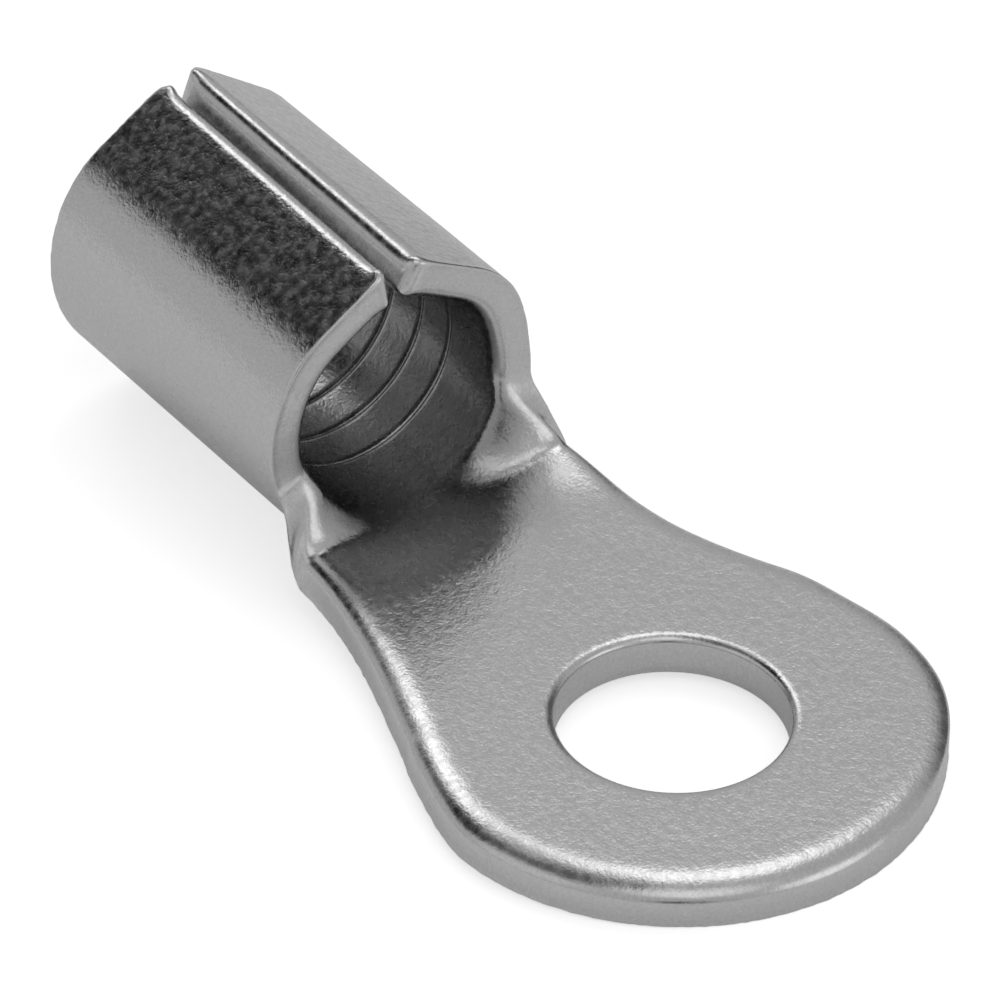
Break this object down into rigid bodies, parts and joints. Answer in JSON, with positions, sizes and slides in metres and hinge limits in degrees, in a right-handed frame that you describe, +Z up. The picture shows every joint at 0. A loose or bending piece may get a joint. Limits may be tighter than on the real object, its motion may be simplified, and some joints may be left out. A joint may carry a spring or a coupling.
{
  "type": "ring terminal",
  "caption": "Uninsulated crimp ring terminal: a flat ring for a stud, with a neck that runs back into a rolled wire barrel with a butted seam.",
  "frame": {"origin": "centre of the stud hole at the tongue's underside, which lies against what the terminal is bolted to", "axes": "+Z up through the stud hole towards the nut, +X from the wire barrel towards the tip of the ring"},
  "size_m": [0.0257, 0.0122, 0.0078],
  "materials": {
    "tinned_copper": "satin tin plating over copper sheet"
  },
  "bodies": {
    "root": {"ring_terminal": "tinned_copper"}
  },
  "joints": []
}
